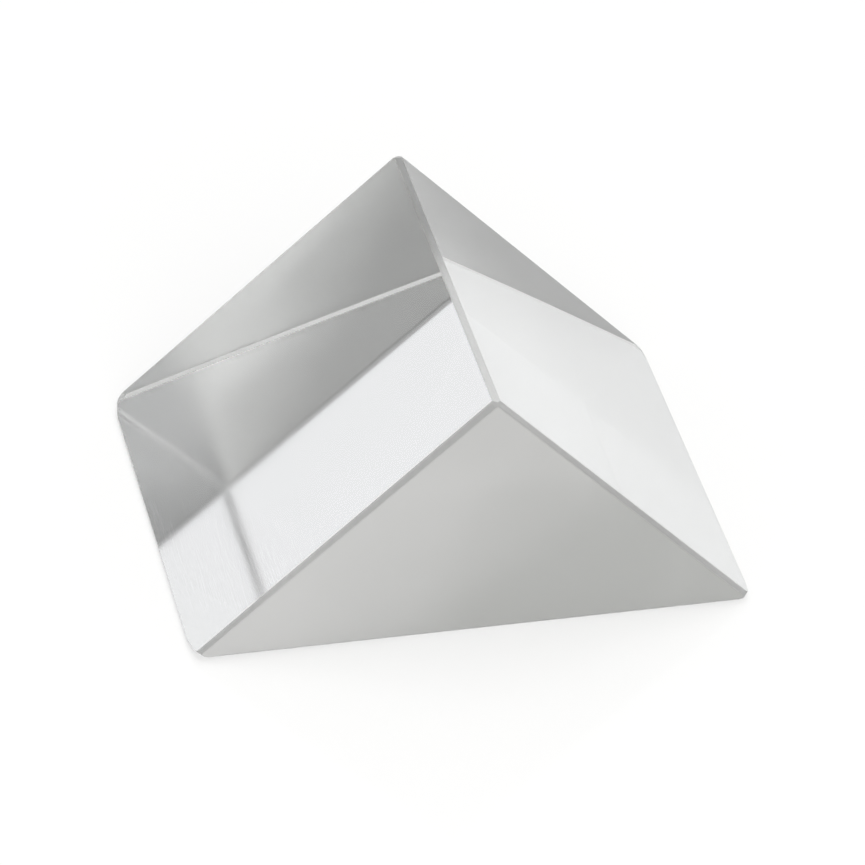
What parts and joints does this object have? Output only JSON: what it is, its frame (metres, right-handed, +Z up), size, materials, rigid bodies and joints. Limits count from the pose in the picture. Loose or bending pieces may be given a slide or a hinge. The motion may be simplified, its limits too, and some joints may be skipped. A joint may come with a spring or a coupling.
{
  "type": "right-angle glass prism",
  "caption": "Right-angle reflecting prism: solid crown glass with polished leg and hypotenuse faces, fine-ground ends and broken edges.",
  "frame": {"origin": "under the middle of the block, in the plane of the hypotenuse face that it rests on", "axes": "+X across the hypotenuse face from one acute edge to the other, +Y along the prism from one ground end to the other, +Z up to the roof edge"},
  "size_m": [0.0696, 0.05, 0.035],
  "materials": {
    "crown_glass": "clear crown glass, polished on the two leg faces and the hypotenuse face, fine ground on the two ends and on the broken edges"
  },
  "bodies": {
    "root": {"glass_prism": "crown_glass"}
  },
  "joints": []
}
